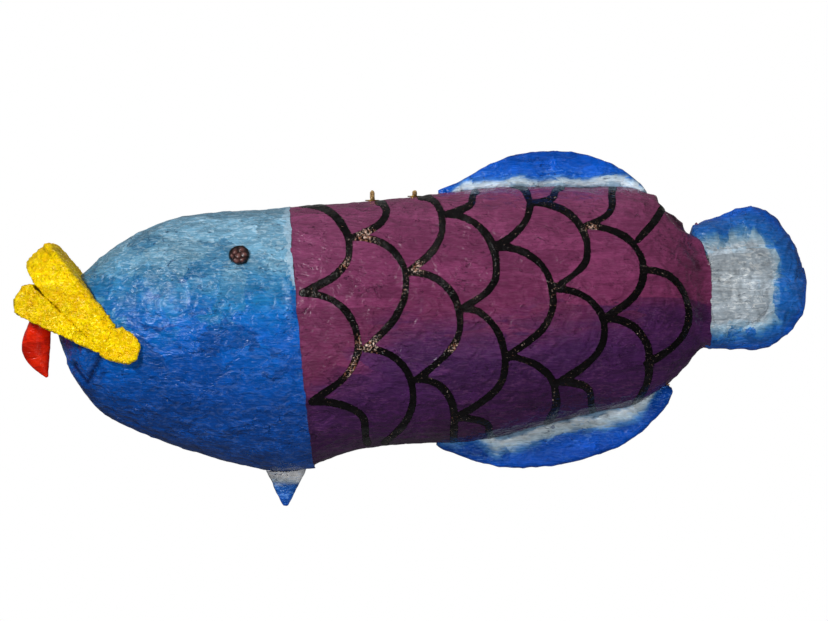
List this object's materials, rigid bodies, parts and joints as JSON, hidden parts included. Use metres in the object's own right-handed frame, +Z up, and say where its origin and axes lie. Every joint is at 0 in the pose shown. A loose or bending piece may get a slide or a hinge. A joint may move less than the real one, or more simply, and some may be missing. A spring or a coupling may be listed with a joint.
{
  "type": "pinata",
  "caption": "Fish-shaped hanging pinata: hollow painted papier-mache shell with fins, lips, tongue, filling door, hanging loop and wrapped sweets inside.",
  "frame": {"origin": "centre of the fish's bounding box, hanging loop folded down", "axes": "+X from nose to tail, +Z up, -Y out of the fish's left side"},
  "size_m": [0.67, 0.1766, 0.3022],
  "materials": {
    "head_paint": "painted papier-mache, blue, satin",
    "body_paint": "painted papier-mache, plum with black scale arcs, satin",
    "fin_paint": "painted papier-mache, blue with pale roots, satin",
    "tail_paint": "painted papier-mache, pale centre and blue rim, satin",
    "lip_paint": "painted paper pulp, yellow, glossy",
    "tongue_paint": "painted paper pulp, red, glossy",
    "eye_lacquer": "lacquered paper pulp, dark brown, glossy",
    "card": "plain grey-brown card, matte",
    "stuffing": "crumpled newsprint, plain, matte",
    "door_tape": "painted paper tape, matte",
    "pull_tab": "kraft paper, matte",
    "eyelet_brass": "pressed brass, worn",
    "stick_wood": "plain wooden stick",
    "cord": "twisted natural twine",
    "sweet_wrapper": "twist wrappers in plain colours"
  },
  "bodies": {
    "fish": {"head_shell": "head_paint", "body_shell": "body_paint", "neck_ring": "card", "dorsal_fin_skin": "fin_paint", "dorsal_fin_card": "card", "ventral_fin_skin": "fin_paint", "ventral_fin_card": "card", "pelvic_fin": "fin_paint", "tail_skin": "tail_paint", "tail_stuffing": "stuffing", "upper_lip": "lip_paint", "lower_lip": "lip_paint", "left_mouth_corner": "lip_paint", "right_mouth_corner": "lip_paint", "tongue": "tongue_paint", "left_eye": "eye_lacquer", "right_eye": "eye_lacquer", "door_stop_frame": "card", "hinge_tape_on_shell": "door_tape", "hanger_patch": "card", "hanger_eyelets": "eyelet_brass", "hanger_stick": "stick_wood", "hanging_cord_inside": "cord", "wrapped_sweets": "sweet_wrapper"},
    "hanging_loop": {"hanging_loop": "cord"},
    "filling_door": {"filling_door": "body_paint", "hinge_tape_on_door": "door_tape", "door_pull_tab": "pull_tab"}
  },
  "joints": [
    {"name": "loop_swing", "type": "hinge", "parent": "fish", "child": "hanging_loop", "pos_m": [-0.015, 0, 0.11574], "axis": [1, 0, 0], "range_deg": [0, 110]},
    {"name": "door_swing", "type": "hinge", "parent": "fish", "child": "filling_door", "pos_m": [0.057, 0.0816, 0.0456], "axis": [1, 0, 0], "range_deg": [0, 110]}
  ]
}
